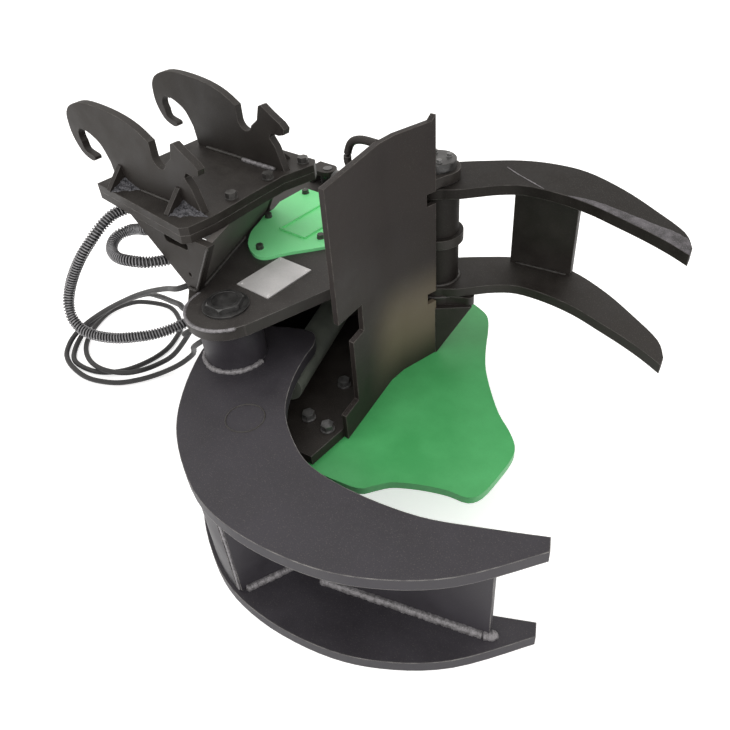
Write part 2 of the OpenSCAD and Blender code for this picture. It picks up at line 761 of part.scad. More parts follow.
anchor_low = cyl_z - eye_t / 2 - ear_play - anchor_ear_t;
anchor_high = cyl_z + eye_t / 2 + ear_play;
anchor_top = anchor_high + anchor_ear_t;
pin_head_t = 6;
pin_head_r = 28;
module cylinder_anchor() {
    black() place() difference() {
        union() {
            for (z = [anchor_low, anchor_high]) {
                disc(anchor_x, anchor_y, z, z + anchor_ear_t, anchor_ear_r);
                translate([anchor_x - anchor_ear_r, anchor_y, z])
                    cube([2 * anchor_ear_r, shell_far_y - anchor_y - wall_t / 2, anchor_ear_t]);
            }
        }
        disc(anchor_x, anchor_y, anchor_low - over, anchor_high + 2 * anchor_ear_t, anchor_pin_r);
    }
}

module anchor_pin() {
    bare_steel() place() {
        disc(anchor_x, anchor_y, anchor_low, anchor_top, anchor_pin_r);
        disc(anchor_x, anchor_y, anchor_top, anchor_top + pin_head_t, pin_head_r);
    }
}

col_ear_t = 15;
col_ear_z = col_cyl_z + col_eye_t / 2 + run;
module collector_anchor() {
    back = 290;
    black() place() difference() {
        union() {
            disc(col_anchor_x, col_cyl_y, col_ear_z, col_ear_z + col_ear_t, base_eye_r);
            translate([-back, col_cyl_y - base_eye_r, col_ear_z])
                cube([back + col_anchor_x, 2 * base_eye_r, col_ear_t]);
            translate([-back, col_cyl_y - base_eye_r, top_top])
                cube([col_ear_t, 2 * base_eye_r, col_ear_z - top_top]);
            disc(col_anchor_x, col_cyl_y, top_top, top_top + run, base_eye_r - chamfer);
        }
        disc(col_anchor_x, col_cyl_y, top_z, col_ear_z + 2 * col_ear_t, col_anchor_pin_r);
    }
}

module collector_barrel() {
    bore = col_cyl_r - col_cyl_wall;
    l = col_barrel_to - col_barrel_from;
    black() place() {
        disc(col_anchor_x, col_cyl_y, top_z, col_ear_z + col_ear_t + chamfer, col_anchor_pin_r);
        difference() {
            union() {
                disc(col_anchor_x, col_cyl_y, top_top + run, col_ear_z, base_eye_r - chamfer);
                translate([col_anchor_x, col_cyl_y - col_eye_t / 2, top_top + run])
                    cube([col_barrel_from, col_eye_t, col_ear_z - top_top - run]);
            }
            disc(col_anchor_x, col_cyl_y, top_z, col_ear_z + col_ear_t, col_anchor_pin_r);
        }
        translate([col_anchor_x + col_barrel_from, col_cyl_y, col_cyl_z]) rotate([0, 90, 0]) difference() {
            cylinder(r = col_cyl_r, h = l, $fn = fine);
            translate([0, 0, wall_t]) cylinder(r = bore, h = l - 2 * wall_t, $fn = fine);
            translate([0, 0, wall_t]) cylinder(r = col_rod_r + pin_fit, h = l, $fn = fine);
        }
    }
}

port_from = -262;
port_to = -162;
port_low = 240;
pad_w = 45;
port_places = [[-214, 316], [-190, 392], [-190, 262], [-240, 392], [-240, 262]];
neck_port_y = 86;
neck_ports = [[-400, 582], [-300, 556], [-225, 496]];
module hose_bulkhead() {
    reach = shell_y - port_y - port_t;
    half = pad_w / 2;
    black() place() difference() {
        union() {
            translate([port_from, port_y, port_low]) cube([port_to - port_from, port_t, top_z - port_low]);
            translate([port_to - port_t, port_y + port_t, port_low]) cube([port_t, reach, top_z - port_low]);
            for (p = neck_ports) translate([p[0] - half, neck_port_y, p[1] - half])
                cube([2 * half, port_t, flange_z - p[1] + half]);
        }
        shell_walls(0, top_z + over);
    }
}

// Hexagon crimp fitting that ends a hose, its face looking along -Y
module fitting(x, y, z, d) {
    translate([x, y, z]) rotate([90, 0, 0]) {
        cylinder(r = d * washer_r_share, h = fitting_l / 2, $fn = 6);
        translate([0, 0, fitting_l / 2]) cylinder(r = d / 2, h = fitting_l / 2, $fn = fine / 2);
    }
}

module hose_fittings() {
    bare_steel() place() {
        fitting(port_places[0][0], port_y, port_places[0][1], guard_d);
        for (i = [1:4]) fitting(port_places[i][0], port_y, port_places[i][1], hose_d);
        for (p = neck_ports) fitting(p[0], neck_port_y, p[1], guard_d);
    }
}

// Cutting jaw

module jaw_plate(z) {
    difference() {
        translate([0, 0, z]) linear_extrude(jaw_t) polygon(concat(jaw_outer, jaw_inner));
        disc(0, 0, z - over, z + jaw_t + over, jaw_pin_r + pin_fit);
    }
}

module jaw_upper_plate() {
    black() place() difference() {
        jaw_plate(jaw_up_z);
        disc(crank_x, crank_y, jaw_up_z - over, jaw_up_top + over, plug_r);
    }
}

module jaw_lower_plate() {
    black() place() jaw_plate(0);
}

module jaw_hub_sleeve() {
    black() place() difference() {
        disc(0, 0, jaw_up_top, top_z - run, hub_r);
        disc(0, 0, jaw_up_top - over, top_z, jaw_pin_r + pin_fit);
    }
}

module rim_outline() {
    line = stretch(jaw_outer, rim_from_share, rim_to_share);
    polygon(concat(beside(line, rim_inset), reversed(beside(line, rim_inset + web_t))));
}

module jaw_rim_wall() {
    black() place() translate([0, 0, jaw_lo_top]) linear_extrude(jaw_gap) rim_outline();
}

module jaw_cross_web() {
    black() place() difference() {
        wall(jaw_reach * cross_web_share[0], jaw_reach * cross_web_share[1], jaw_lo_top, jaw_up_z, web_t);
        linear_extrude(jaw_up_top) rim_outline();
    }
}

module jaw_long_web() {
    root = jaw_reach * long_web_share[0];
    tip = jaw_reach * long_web_share[1];
    black() place() difference() {
        wall(root + web_t / 2 * unit(tip - root), tip, jaw_lo_top, jaw_up_z, web_t);
        wall(jaw_reach * cross_web_share[0], jaw_reach * cross_web_share[1], 0, jaw_up_top, web_t);
    }
}

clevis_z = base_top + run;
clevis_t = 18;
module jaw_clevis() {
    clevis_r = 44;
    clevis_l = 60;
    black() place() translate([crank_x, crank_y, 0]) rotate([0, 0, cyl_angle]) {
        difference() {
            union() {
                disc(0, 0, clevis_z, clevis_z + clevis_t, clevis_r);
                translate([0, -clevis_r, clevis_z]) cube([clevis_l, 2 * clevis_r, clevis_t]);
            }
            disc(0, 0, clevis_z - over, clevis_z + 2 * clevis_t, rod_pin_r);
        }
        translate([clevis_l, -clevis_r, clevis_z]) cube([web_t, 2 * clevis_r, jaw_up_z - clevis_z]);
    }
}

module jaw_cylinder_pin() {
    bare_steel() place() {
        disc(crank_x, crank_y, clevis_z, jaw_up_z, rod_pin_r);
        disc(crank_x, crank_y, jaw_up_z, jaw_up_top, plug_r);
    }
}

// Collector arm

module arm_plate(z) {
    outer = curve(arm_reach * arm_outer_share, arm_steps);
    inner = curve(arm_reach * arm_inner_share, arm_steps);
    place() translate([col_x, col_y, z]) linear_extrude(arm_t) difference() {
        union() {
            polygon(concat(outer, inner));
            circle(r = arm_root_r, $fn = fine);
        }
        circle(r = col_pin_r + pin_fit, $fn = fine);
    }
}

module arm_upper_plate() { black() arm_plate(arm_up_z); }
module arm_lower_plate() { black() arm_plate(arm_z); }

module arm_sleeve() {
    black() place() difference() {
        disc(col_x, col_y, arm_z + arm_t, arm_up_z, col_sleeve_r);
        disc(col_x, col_y, arm_z, arm_up_z + over, col_pin_r + pin_fit);
    }
}

module arm_spacer() {
    black() place() translate([col_x, col_y, 0]) wall(arm_reach * spacer_share[0],
        arm_reach * spacer_share[1], arm_z + arm_t, arm_up_z, spacer_t);
}

// Lever with a long hole, in which the pin of the collector cylinder's fork runs
module arm_lever() {
    slot_r = fork_pin_r + slot_play;
    slot_from = lever_h - chamfer;
    slot_to = lever_h / cos(swing / 2) + chamfer;
    half = slot_r + lever_rim;
    disc_r = col_sleeve_r + fork_pin_r;
    black() place() translate([col_x, col_y, lever_z]) rotate([0, 0, lever_angle])
        linear_extrude(lever_t) difference() {
            union() {
                circle(r = disc_r, $fn = fine);
                translate([0, -half]) square([slot_to, 2 * half]);
                translate([slot_to, 0]) circle(r = half, $fn = fine);
            }
            circle(r = col_sleeve_r, $fn = fine);
            translate([slot_from, -slot_r]) square([slot_to - slot_from, 2 * slot_r]);
            for (x = [slot_from, slot_to]) translate([x, 0]) circle(r = slot_r, $fn = fine);
        }
}

// Cylinders

// Puts a drawing that lies along Z on the line of the jaw cylinder, from its anchor pin
module on_cylinder(from) {
    place() translate([anchor_x, anchor_y, cyl_z]) rotate([0, 0, cyl_angle]) translate([from, 0, 0])
        rotate([0, 90, 0]) children();
}

module jaw_barrel() {
    bore = cyl_r - cyl_wall;
    black() {
        difference() {
            union() {
                place() disc(anchor_x, anchor_y, cyl_z - eye_t / 2, cyl_z + eye_t / 2, barrel_eye_r);
                on_cylinder(0) cylinder(r = barrel_eye_r - chamfer, h = barrel_from, $fn = fine);
            }
            place() disc(anchor_x, anchor_y, cyl_z - eye_t, cyl_z + eye_t, anchor_pin_r + pin_fit);
        }
        on_cylinder(barrel_from) difference() {
            cylinder(r = cyl_r, h = barrel_l + gland_l, $fn = fine);
            translate([0, 0, wall_t]) cylinder(r = bore, h = barrel_l - wall_t, $fn = fine);
            translate([0, 0, wall_t]) cylinder(r = rod_r + pin_fit, h = barrel_l + gland_l, $fn = fine);
        }
    }
}

module jaw_rod() {
    bore = cyl_r - cyl_wall;
    bare_steel() difference() {
        union() {
            on_cylinder(piston_from) cylinder(r = bore - pin_fit, h = piston_l, $fn = fine);
            on_cylinder(piston_from + piston_l) cylinder(r = rod_r, h = cyl_l - piston_from - piston_l,
                $fn = fine);
            place() disc(crank_x, crank_y, cyl_z - eye_t / 2, cyl_z + eye_t / 2, eye_r);
        }
        place() disc(crank_x, crank_y, cyl_z - eye_t, cyl_z + eye_t, rod_pin_r + eye_play);
    }
}

module collector_rod() {
    bore = col_cyl_r - col_cyl_wall;
    pin_x = col_x + lever_pin_x;
    piston = col_barrel_from + 2 * wall_t;
    gap = lever_t / 2 + run;
    half = fork_r - chamfer;
    bare_steel() place() {
        translate([col_anchor_x + piston, col_cyl_y, col_cyl_z]) rotate([0, 90, 0]) {
            cylinder(r = bore - pin_fit, h = wall_t, $fn = fine);
            cylinder(r = col_rod_r, h = pin_x - fork_reach - col_anchor_x - piston, $fn = fine);
        }
        translate([pin_x - fork_reach - fork_t, col_cyl_y - half, col_cyl_z - gap - fork_t])
            cube([fork_t, 2 * half, 2 * (gap + fork_t)]);
        for (z = [col_cyl_z - gap - fork_t, col_cyl_z + gap]) {
            disc(pin_x, col_cyl_y, z, z + fork_t, fork_r);
            translate([pin_x - fork_reach, col_cyl_y - half, z]) cube([fork_reach, 2 * half, fork_t]);
        }
        disc(pin_x, col_cyl_y, col_cyl_z - gap - fork_t - chamfer, col_cyl_z + gap + fork_t + chamfer,
            fork_pin_r);
    }
}

// Hoses

// Share of a direction that is upright, from which a ring is set out from the X axis
steep_share = 0.97;
// Tube swept along a smooth route, its radius taken ring by ring from a list
// Round tube through pts, its two ends square to the first and last stretch of the route
module tube(pts, route, radii, sides) {
    n = len(pts);
    last = len(route) - 1;
    dirs = [for (i = [0:n - 1]) unit(i == 0 ? route[1] - route[0]
        : i == n - 1 ? route[last] - route[last - 1] : pts[i + 1] - pts[i - 1])];
    up = [0, 0, 1];
    rights = [for (d = dirs) unit(cross(d, abs(d[2]) > steep_share ? [1, 0, 0] : up))];
    points = [for (i = [0:n - 1]) for (k = [0:sides - 1]) let (a = 360 * k / sides)
        pts[i] + radii[i] * (rights[i] * cos(a) + cross(rights[i], dirs[i]) * sin(a))];
    sides_of = [for (i = [0:n - 2]) for (k = [0:sides - 1]) let (a = i * sides + k,
        b = i * sides + (k + 1) % sides) each [[a, a + sides, b], [b, a + sides, b + sides]]];
    ends = [for (k = [1:sides - 2]) each [[0, k, k + 1],
        [(n - 1) * sides, (n - 1) * sides + k + 1, (n - 1) * sides + k]]];
    polyhedron(points = points, faces = concat(sides_of, ends));
}

// Points at an even pitch along a fine curve
function lengths(pts, i = 0, sum = 0, out = []) = i >= len(pts) ? out
    : lengths(pts, i + 1, sum + (i + 1 < len(pts) ? norm(pts[i + 1] - pts[i]) : 0), concat(out, [sum]));
function at_length(pts, ls, s) = let (k = max([for (i = [0:len(ls) - 2]) ls[i] <= s ? i : 0]),
    share = min(1, (s - ls[k]) / (ls[k + 1] - ls[k]))) pts[k] + share * (pts[k + 1] - pts[k]);

module plain_hose(route, d) {
    pts = curve(route, hose_steps);
    rubber() place() tube(pts, route, [for (p = pts) d / 2], hose_sides);
}

// A hose in its spiral guard: two rings to each turn of the guard
module guarded_hose(route) {
    fine_pts = curve(route, guard_steps);
    ls = lengths(fine_pts);
    total = ls[len(ls) - 1];
    turns = floor(total / guard_pitch);
    pts = [for (i = [0:2 * turns]) at_length(fine_pts, ls, total * i / (2 * turns))];
    radii = [for (i = [0:2 * turns]) guard_d / 2 - (i % 2) * guard_depth];
    rubber() place() tube(pts, route, radii, hose_sides);
}

module guarded_hose_long() { guarded_hose(long_route); }
module guarded_hose_short() { guarded_hose(short_route); }
module supply_hose_a() { plain_hose(route_a, hose_d); }
module supply_hose_b() { plain_hose(route_b, hose_d); }

blade();
blade_bolts();
base_plate();
front_plate();
top_plate();
body_shell();
floor_plate();
jaw_hub_tube();
hub_web();
collector_top_lug();
collector_lower_lug();
lug_gusset();
lug_column();
access_cover();
cover_bolts();
data_plate();
neck_side_near();
neck_side_far();
neck_rib();
neck_front_wall();
neck_flange();
coupler_base();
coupler_ear_left();
coupler_ear_right();
coupler_gussets();
flange_bolts();
lifting_eye();
jaw_pin();
jaw_pin_washer();
jaw_pin_nut();
collector_pin();
collector_pin_cap();
cap_bolts();
thrust_rings();
cylinder_anchor();
anchor_pin();
collector_anchor();
collector_barrel();
hose_bulkhead();
hose_fittings();
jaw_upper_plate();
jaw_lower_plate();
jaw_hub_sleeve();
jaw_rim_wall();
jaw_cross_web();
jaw_long_web();
jaw_clevis();
jaw_cylinder_pin();
arm_upper_plate();
arm_lower_plate();
arm_sleeve();
arm_spacer();
arm_lever();
jaw_barrel();
jaw_rod();
collector_rod();
guarded_hose_long();
guarded_hose_short();
supply_hose_a();
supply_hose_b();
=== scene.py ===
import math
import random
import bpy
from mathutils import Matrix, Vector, noise


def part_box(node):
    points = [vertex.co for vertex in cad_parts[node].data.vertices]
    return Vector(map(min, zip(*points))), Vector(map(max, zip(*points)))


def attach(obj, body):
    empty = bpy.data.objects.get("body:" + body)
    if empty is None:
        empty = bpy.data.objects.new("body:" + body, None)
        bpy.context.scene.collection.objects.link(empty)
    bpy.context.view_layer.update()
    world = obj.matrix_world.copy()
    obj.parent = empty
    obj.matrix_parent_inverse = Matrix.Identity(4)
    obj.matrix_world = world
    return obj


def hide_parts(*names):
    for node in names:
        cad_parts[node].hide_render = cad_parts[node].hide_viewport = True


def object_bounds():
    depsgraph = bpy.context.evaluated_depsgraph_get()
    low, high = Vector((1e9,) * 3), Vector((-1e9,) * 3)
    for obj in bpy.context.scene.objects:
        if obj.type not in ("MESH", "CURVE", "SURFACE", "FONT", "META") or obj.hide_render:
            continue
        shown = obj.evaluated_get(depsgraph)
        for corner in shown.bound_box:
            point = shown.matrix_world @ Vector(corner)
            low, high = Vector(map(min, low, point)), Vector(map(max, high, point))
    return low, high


# A hydraulic tree shear for an excavator. Everything is in metres in the part's own frame, whose
# origin is the seat of the coupler's front hooks, with X towards the tree and Z up.
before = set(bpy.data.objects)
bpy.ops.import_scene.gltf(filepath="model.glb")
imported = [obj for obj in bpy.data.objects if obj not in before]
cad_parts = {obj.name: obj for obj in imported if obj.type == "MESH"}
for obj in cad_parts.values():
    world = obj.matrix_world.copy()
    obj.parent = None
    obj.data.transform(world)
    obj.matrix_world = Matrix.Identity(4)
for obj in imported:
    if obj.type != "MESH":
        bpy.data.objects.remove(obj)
cad_box = [list(c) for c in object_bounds()]


# Viewpoint: a camera above and in front of the jaw's side, looking back and down over the tool, rolled
# a little clockwise, with a view about 55 degrees wide.
jaw_pivot = (515, -192.5, -740)


def working_point(x, y, z):
    """A point given in millimetres from the jaw's axis at ground level, in the part's frame."""
    return Vector(((x + jaw_pivot[0]) / 1000, (y + jaw_pivot[1]) / 1000, (z + jaw_pivot[2]) / 1000))


eye = working_point(1166.4, -791.1, 1380)
yaw, pitch, roll = (math.radians(angle) for angle in (133.0, 39.6, 4.9))
forward = Vector((math.cos(yaw) * math.cos(pitch), math.sin(yaw) * math.cos(pitch), -math.sin(pitch)))
level = forward.cross(Vector((0, 0, 1))).normalized()
steep = forward.cross(level)
right = math.cos(roll) * level + math.sin(roll) * steep
down = math.cos(roll) * steep - math.sin(roll) * level
picture_side = 730
focal_pixels = 700
film_width = 36
camera = bpy.data.objects.new("camera", bpy.data.cameras.new("camera"))
camera.data.sensor_width = film_width
camera.data.lens = film_width * focal_pixels / picture_side
camera.data.clip_end = 50
camera.matrix_world = Matrix.Translation(eye) @ Matrix((right, -down, -forward)).transposed().to_4x4()
bpy.context.scene.collection.objects.link(camera)
bpy.context.scene.camera = camera


# Spiral-guarded hoses: two rubber hoses, each wrapped in a coil of flat sprung steel that keeps it from
# chafing where it leaves the neck. Both ends of each go into steel fittings.
def smooth_line(points, step):
    """Points at an even step along a smooth curve through the given ones, and the curve's length."""
    dense = []
    splits = 24
    last = len(points) - 1
    for i in range(last):
        a, b, c, d = points[max(i - 1, 0)], points[i], points[i + 1], points[min(i + 2, last)]
        for k in range(splits):
            s = k / splits
            dense.append(0.5 * (2 * b + (c - a) * s + (2 * a - 5 * b + 4 * c - d) * s * s
                                + (3 * b - a - 3 * c + d) * s ** 3))
    dense.append(points[-1])
    reach = [0.0]
    for near, far in zip(dense, dense[1:]):
        reach.append(reach[-1] + (far - near).length)
    length = reach[-1]
    count = max(2, round(length / step))
    line = []
    k = 0
    for n in range(count + 1):
        at = length * n / count
        while k < len(dense) - 2 and reach[k + 1] < at:
            k += 1
        share = (at - reach[k]) / max(reach[k + 1] - reach[k], 1e-9)
        line.append(dense[k].lerp(dense[k + 1], min(max(share, 0), 1)))
    return line, length


def swept(line, section):
    """Vertices and faces of a closed tube whose ring at point i is section(i, point, ahead, side, up).

    The sideways directions turn as little as they can from one point to the next."""
    verts, faces = [], []
    last = len(line) - 1
    side = None
    for i, point in enumerate(line):
        ahead = (line[min(i + 1, last)] - line[max(i - 1, 0)]).normalized()
        if side is None:
            side = ahead.orthogonal().normalized()
        side = (side - ahead * side.dot(ahead)).normalized()
        ring = section(i, point, ahead, side, ahead.cross(side))
        verts += ring
    corners = len(ring)
    for i in range(last):
        for k in range(corners):
            a = i * corners + k
            b = i * corners + (k + 1) % corners
            faces.append((a, b, b + corners, a + corners))
    faces.append(tuple(reversed(range(corners))))
    faces.append(tuple(range(last * corners, (last + 1) * corners)))
    return verts, faces


def round_tube(line, radius, corners=16):
    """A plain round tube along a line."""
    angles = [2 * math.pi * k / corners for k in range(corners)]
    return swept(line, lambda i, point, ahead, side, up: [
        point + radius * (math.cos(t) * side + math.sin(t) * up) for t in angles])


def coil_wire(route, radius, pitch, half_width, half_height, per_turn=14, corners=6):
    """A flat wire wound round a route, its section a flat hexagon."""
    line = smooth_line(route, pitch / per_turn)[0]
    angles = [2 * math.pi * k / corners for k in range(corners)]

    def ring(i, point, ahead, side, up):
        turned = 2 * math.pi * i / per_turn
        out = math.cos(turned) * side + math.sin(turned) * up
        return [point + out * (radius + half_height * math.sin(a)) + ahead * half_width * math.cos(a)
                for a in angles]

    return swept(line, ring)


def new_piece(name, verts, faces, material, body):
    """A smoothly shaded mesh object with its material, riding on a body."""
    mesh = bpy.data.meshes.new(name)
    mesh.from_pydata([tuple(v) for v in verts], [], faces)
    mesh.polygons.foreach_set("use_smooth", [True] * len(mesh.polygons))
    mesh.update()
    mesh.materials.append(material)
    piece = bpy.data.objects.new(name, mesh)
    bpy.context.scene.collection.objects.link(piece)
    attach(piece, body)
    return piece


def node(tree, kind, **settings):
    """A shader node with its settings."""
    made = tree.nodes.new(kind)
    for key, value in settings.items():
        setattr(made, key, value)
    return made


def noisy(tree, place, scale, detail, roughness=0.5):
    """Noise over the surface, with its scale a number or a socket."""
    cloud = node(tree, "ShaderNodeTexNoise")
    cloud.inputs["Detail"].default_value = detail
    cloud.inputs["Roughness"].default_value = roughness
    tree.links.new(place, cloud.inputs["Vector"])
    if isinstance(scale, bpy.types.NodeSocket):
        tree.links.new(scale, cloud.inputs["Scale"])
    else:
        cloud.inputs["Scale"].default_value = scale
    return cloud.outputs["Fac"]


def ranged(tree, value, low, high, to_low=0, to_high=1, curve="LINEAR"):
    """A value stretched from one range to another and held at its ends."""
    stretch = node(tree, "ShaderNodeMapRange", interpolation_type=curve)
    for label, limit in (("From Min", low), ("From Max", high), ("To Min", to_low), ("To Max", to_high)):
        stretch.inputs[label].default_value = limit
    tree.links.new(value, stretch.inputs["Value"])
    return stretch.outputs["Result"]


def product(tree, first, second, clamped=False):
    """Two values multiplied."""
    times = node(tree, "ShaderNodeMath", operation="MULTIPLY", use_clamp=clamped)
    tree.links.new(first, times.inputs[0])
    tree.links.new(second, times.inputs[1])
    return times.outputs["Value"]


def tinted(tree, share, under):
    """A colour with another laid over it by a share: the mixed colour, and the other one's socket."""
    mix = node(tree, "ShaderNodeMix", data_type="RGBA")
    color_under, color_over = [s for s in mix.inputs if s.type == "RGBA"]
    tree.links.new(share, mix.inputs["Factor"])
    tree.links.new(under, color_under)
    return next(s for s in mix.outputs if s.type == "RGBA"), color_over


def worn_and_highlit_tone_group():
    """Two tones that drift into each other over a hand's width, fine specks of dust, mostly on what
    faces up, and a tone along the edges: where it is paler than the coat, it stands partly for thinner,
    rubbed paint and partly for a painted highlight."""
    tree = bpy.data.node_groups.new("worn_and_highlit_tone", "ShaderNodeTree")
    for way, kind, labels in (
            ("INPUT", "Color", ("Tone", "Second Tone", "Edge Tone", "Dust")),
            ("INPUT", "Float", ("Patch Scale", "Dust Amount", "Edge Amount", "Edge Width")),
            ("OUTPUT", "Color", ("Color",)),
            ("OUTPUT", "Float", ("Patches", "Fine")),
            ("OUTPUT", "Vector", ("Normal",))):
        for label in labels:
            tree.interface.new_socket(name=label, in_out=way, socket_type="NodeSocket" + kind)
    given = tree.nodes.new("NodeGroupInput").outputs
    kept = tree.nodes.new("NodeGroupOutput").inputs
    place = node(tree, "ShaderNodeTexCoord").outputs["Object"]
    surface = node(tree, "ShaderNodeNewGeometry").outputs["Normal"]

    clouds = noisy(tree, place, scale=given["Patch Scale"], detail=6, roughness=0.62)
    patches = ranged(tree, clouds, low=0.36, high=0.66)
    toned, second = tinted(tree, patches, given["Tone"])
    tree.links.new(given["Second Tone"], second)

    fine = noisy(tree, place, scale=420, detail=3)
    specks = ranged(tree, fine, low=0.58, high=0.72)
    facing = node(tree, "ShaderNodeSeparateXYZ")
    tree.links.new(surface, facing.inputs["Vector"])
    upward = ranged(tree, facing.outputs["Z"], low=0.2, high=1, to_low=0.35)
    settled = product(tree, specks, upward)
    dusted, dust = tinted(tree, product(tree, settled, given["Dust Amount"], clamped=True), toned)
    tree.links.new(given["Dust"], dust)

    # How far the softened surface turns away from the true one: nothing on a face, most on an edge
    soft = node(tree, "ShaderNodeBevel", samples=6)
    tree.links.new(given["Edge Width"], soft.inputs["Radius"])
    turned = node(tree, "ShaderNodeVectorMath", operation="DOT_PRODUCT")
    tree.links.new(soft.outputs["Normal"], turned.inputs[0])
    tree.links.new(surface, turned.inputs[1])
    edges = ranged(tree, turned.outputs["Value"], low=0.985, high=0.8)
    broken = noisy(tree, place, scale=38, detail=5)
    # Edge tone mask: where the edge tone is paler than the coat, it is partly rubbed paint and partly a
    # painted highlight along the edge.
    edge_share = product(tree, edges, ranged(tree, broken, low=0.4, high=0.62, to_low=0.4))
    edged, rim = tinted(tree, product(tree, edge_share, given["Edge Amount"], clamped=True), dusted)
    tree.links.new(given["Edge Tone"], rim)

    tree.links.new(edged, kept["Color"])
    tree.links.new(patches, kept["Patches"])
    tree.links.new(fine, kept["Fine"])
    tree.links.new(soft.outputs["Normal"], kept["Normal"])
    return tree


worn_and_highlit_tone = worn_and_highlit_tone_group()


def finish_material(name, tone, second, dust=(0.16, 0.15, 0.13), edge_tone=(0.2, 0.19, 0.18),
                    patch_scale=9, dust_amount=0.3, edge_amount=0.5, rough=(0.4, 0.55), bump=0.08,
                    metallic=0, coat=0, specular=0.5, edge=0.0022):
    """A material whose tones, roughness and relief vary over the surface, with softly rounded edges."""
    material = bpy.data.materials.new(name)
    material.use_nodes = True
    tree = material.node_tree
    shader = tree.nodes["Principled BSDF"]
    shader.inputs["Metallic"].default_value = metallic
    shader.inputs["Coat Weight"].default_value = coat
    shader.inputs["Specular IOR Level"].default_value = specular
    tone_group_node = node(tree, "ShaderNodeGroup", node_tree=worn_and_highlit_tone)
    for label, color in (("Tone", tone), ("Second Tone", second),
                         ("Edge Tone", edge_tone), ("Dust", dust)):
        tone_group_node.inputs[label].default_value = (*color, 1)
    for label, value in (("Patch Scale", patch_scale), ("Dust Amount", dust_amount),
                         ("Edge Amount", edge_amount), ("Edge Width", edge)):
        tone_group_node.inputs[label].default_value = value
    tree.links.new(tone_group_node.outputs["Color"], shader.inputs["Base Color"])
    tree.links.new(ranged(tree, tone_group_node.outputs["Patches"], 0, 1, *rough), shader.inputs["Roughness"])
    relief = node(tree, "ShaderNodeBump")
    relief.inputs["Strength"].default_value = bump
    relief.inputs["Distance"].default_value = 0.0006
    tree.links.new(tone_group_node.outputs["Fine"], relief.inputs["Height"])
    if edge:
        tree.links.new(tone_group_node.outputs["Normal"], relief.inputs["Normal"])
    tree.links.new(relief.outputs["Normal"], shader.inputs["Normal"])
    return material


guard_steel = finish_material("guard_steel", (0.2, 0.2, 0.21), (0.33, 0.33, 0.34), patch_scale=60,
                              dust_amount=0.25, rough=(0.35, 0.55), metallic=0.85, edge=0)
hose_rubber = finish_material("hose_rubber", (0.016, 0.016, 0.017), (0.03, 0.03, 0.032), patch_scale=30,
                              dust_amount=0.5, rough=(0.45, 0.62), bump=0.15, edge=0)
guarded_routes = {
    "guarded_hose_long": (
        (-400, 66, 582), (-400, 56, 582), (-400, 36, 581), (-405, 3, 579), (-408, -40, 561),
        (-418, -74, 532), (-433, -102, 499), (-452, -127, 456), (-467, -145, 415), (-470, -163, 374),
        (-458, -173, 343), (-431, -175, 320), (-401, -167, 307), (-367, -151, 301), (-332, -129, 298),
        (-297, -100, 299), (-266, -67, 300), (-239, -27, 304), (-222, 19, 308), (-216, 70, 313),
        (-214, 120, 316), (-214, 158, 316), (-214, 170, 316)),
    "guarded_hose_short": (
        (-300, 66, 556), (-300, 58, 556), (-304, 44, 553), (-325, 36, 545), (-362, 38, 535),
        (-394, 32, 526), (-410, 10, 520), (-405, -18, 513), (-376, -44, 508), (-330, -58, 509),
        (-285, -52, 512), (-248, -28, 508), (-230, 8, 501), (-225, 38, 497), (-225, 56, 496),
        (-225, 66, 496))}
coil = dict(radius=0.0131, pitch=0.0078, half_width=0.0022, half_height=0.0018)
guarded_radius = 0.0102
for name, places in guarded_routes.items():
    route = [working_point(*place) for place in places]
    line, length = smooth_line(route, step=0.006)
    core = new_piece(name + "_core", *round_tube(line, guarded_radius), hose_rubber, "frame")
    wire = new_piece(name + "_guard", *coil_wire(route, **coil), guard_steel, "frame")
    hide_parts(name)

# Supply hoses: two plain black hydraulic hoses that hang from the bulkhead and lie on the ground in a
# loop behind the tool while it is off the machine, their ends put back into the bulkhead.
supply_routes = {
    "supply_hose_a": (
        (-240, 170, 392), (-240, 160, 392), (-240, 138, 392), (-243, 106, 390), (-253, 80, 384),
        (-274, 64, 374), (-306, 62, 358), (-396, 86, 312), (-490, 92, 266), (-578, 89, 220),
        (-654, 78, 176), (-722, 61, 134), (-775, 40, 98), (-816, 17, 67), (-841, -11, 42),
        (-848, -43, 23), (-833, -76, 12), (-794, -109, 9), (-726, -130, 9), (-631, -131, 9),
        (-542, -94, 9), (-491, -39, 9), (-457, 20, 12), (-417, 66, 34), (-377, 95, 72),
        (-340, 84, 118), (-302, 62, 156), (-262, 50, 192), (-226, 59, 222), (-200, 84, 245),
        (-190, 117, 258), (-190, 140, 262), (-190, 160, 262), (-190, 170, 262)),
    "supply_hose_b": (
        (-190, 170, 392), (-190, 160, 392), (-190, 138, 392), (-188, 62, 376), (-232, 32, 340),
        (-290, 50, 320), (-369, 75, 285), (-488, 105, 240), (-601, 119, 195), (-754, 91, 112),
        (-830, 35, 49), (-838, -28, 13), (-771, -97, 9), (-706, -111, 9), (-628, -93, 9),
        (-570, -41, 9), (-544, 29, 9), (-543, 100, 9), (-569, 165, 9), (-614, 221, 9),
        (-721, 262, 14), (-824, 223, 20), (-870, 178, 16), (-887, 120, 11), (-867, 59, 9),
        (-829, 1, 9), (-773, -49, 11), (-696, -82, 19), (-617, -89, 26), (-547, -65, 27),
        (-508, -26, 26), (-492, 35, 20), (-466, 86, 40), (-384, 110, 145), (-332, 64, 192),
        (-296, 54, 218), (-245, 98, 256), (-240, 140, 262), (-240, 160, 262), (-240, 170, 262))}
supply_radius = 0.008
for name, places in supply_routes.items():
    line, length = smooth_line([working_point(*place) for place in places], step=0.012)
    hose = new_piece(name + "_hose", *round_tube(line, supply_radius, corners=18), hose_rubber, "frame")
    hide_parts(name)


